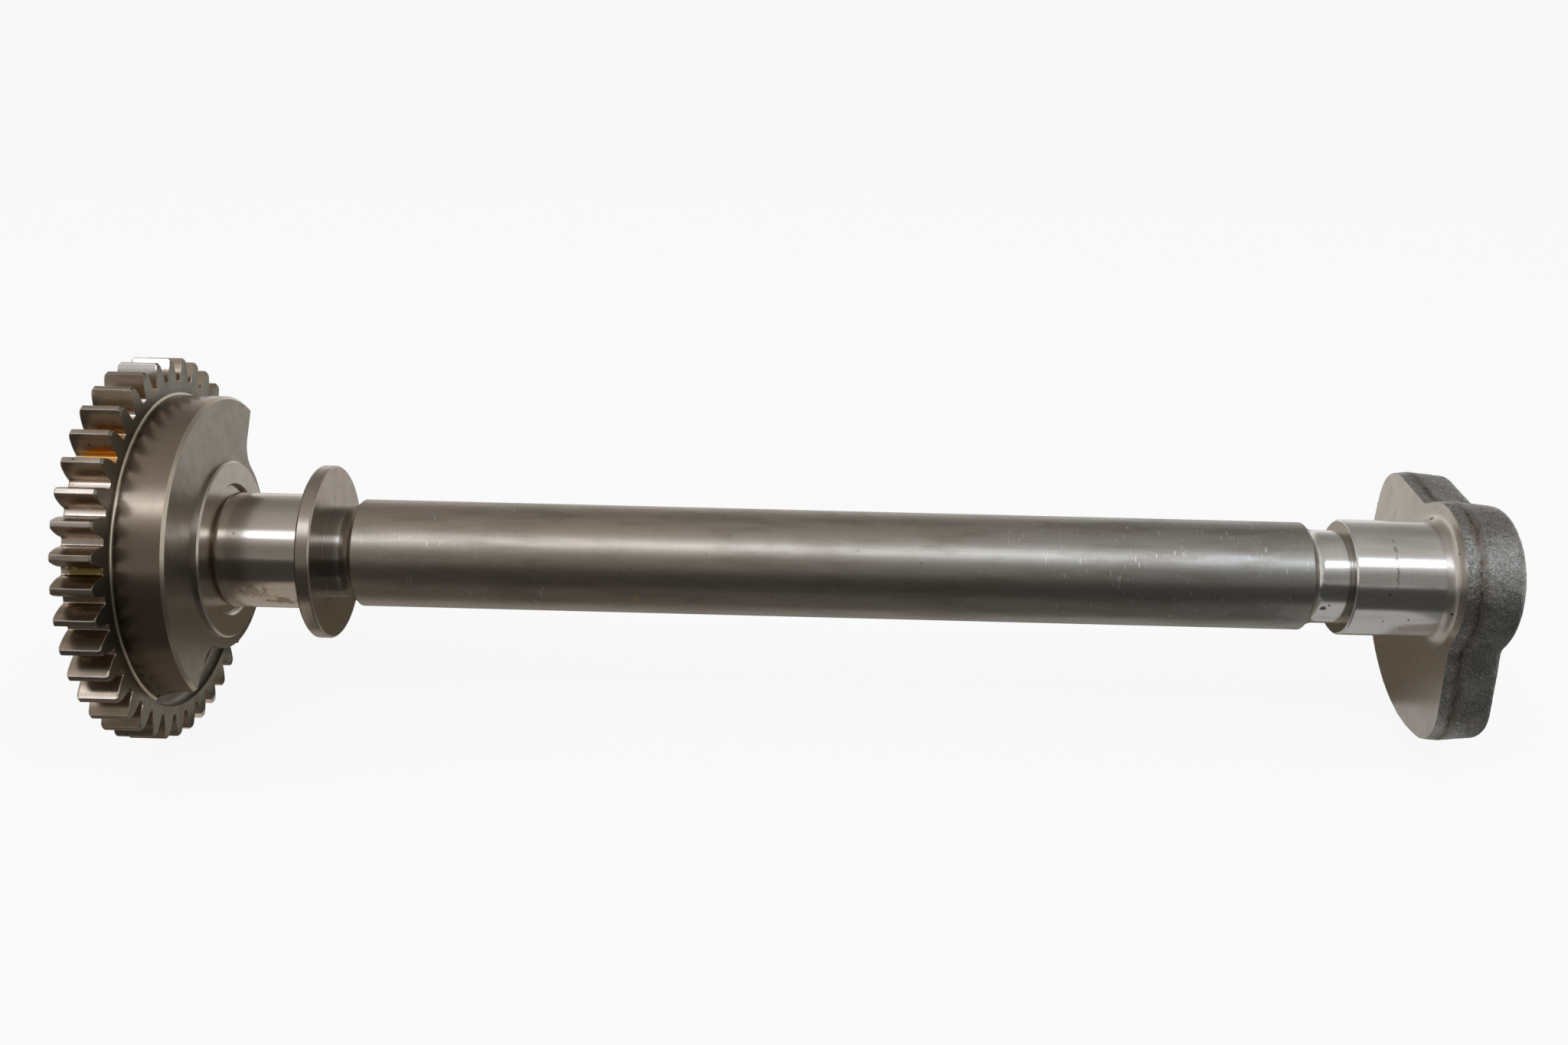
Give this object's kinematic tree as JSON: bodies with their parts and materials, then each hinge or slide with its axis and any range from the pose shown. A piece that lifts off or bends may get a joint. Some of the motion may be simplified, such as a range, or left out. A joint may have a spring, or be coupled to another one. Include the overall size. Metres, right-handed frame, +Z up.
{
  "type": "engine balance shaft",
  "caption": "Steel engine balance shaft with a straight spur gear, a half-disc front weight, bearing journals, a thrust flange and a forged rear weight set opposite.",
  "frame": {"origin": "on the shaft axis, midway between the two thrust faces, which is the middle of the front journal", "axes": "+X along the shaft from the gear to the rear weight, +Z up as it lies in the picture, +Y away from the viewer"},
  "size_m": [0.3765, 0.1058, 0.1058],
  "materials": {
    "steel": "turned and ground steel, brown-grey, with polished journals and a shot-blasted forged weight"
  },
  "bodies": {
    "root": {"balance_shaft": "steel"}
  },
  "joints": []
}
